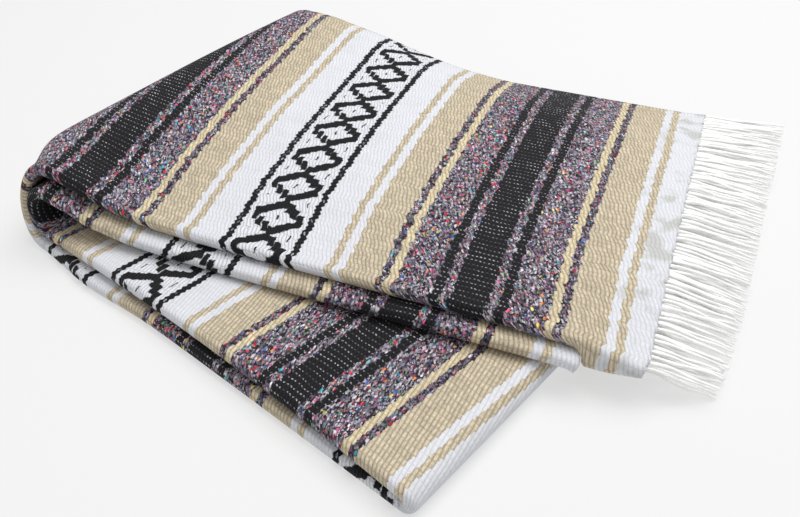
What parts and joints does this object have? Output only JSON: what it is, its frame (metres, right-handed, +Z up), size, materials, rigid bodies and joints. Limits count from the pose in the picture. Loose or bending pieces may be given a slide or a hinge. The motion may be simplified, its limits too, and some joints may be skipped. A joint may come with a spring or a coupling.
{
  "type": "folded falsa blanket",
  "caption": "Thick striped woven blanket with rows of diamonds and a fringe at both ends, folded into a flat stack to lie on a shelf, seat or floor.",
  "frame": {"origin": "centre of the underside of the box round the folded blanket, on the surface it lies on", "axes": "+Z up, +X along the top layers towards the fringe, +Y towards the back edge, where the folds are open"},
  "size_m": [0.5158, 0.449, 0.0644],
  "materials": {
    "woven_cloth": "matte",
    "inner_layers": "matte",
    "fringe_yarn": "matte"
  },
  "bodies": {
    "root": {"top_stretch": "woven_cloth", "second_stretch": "woven_cloth", "third_stretch": "woven_cloth", "bottom_stretch": "woven_cloth", "hidden_layers": "inner_layers", "fringe_top": "fringe_yarn", "fringe_second": "fringe_yarn"}
  },
  "joints": []
}
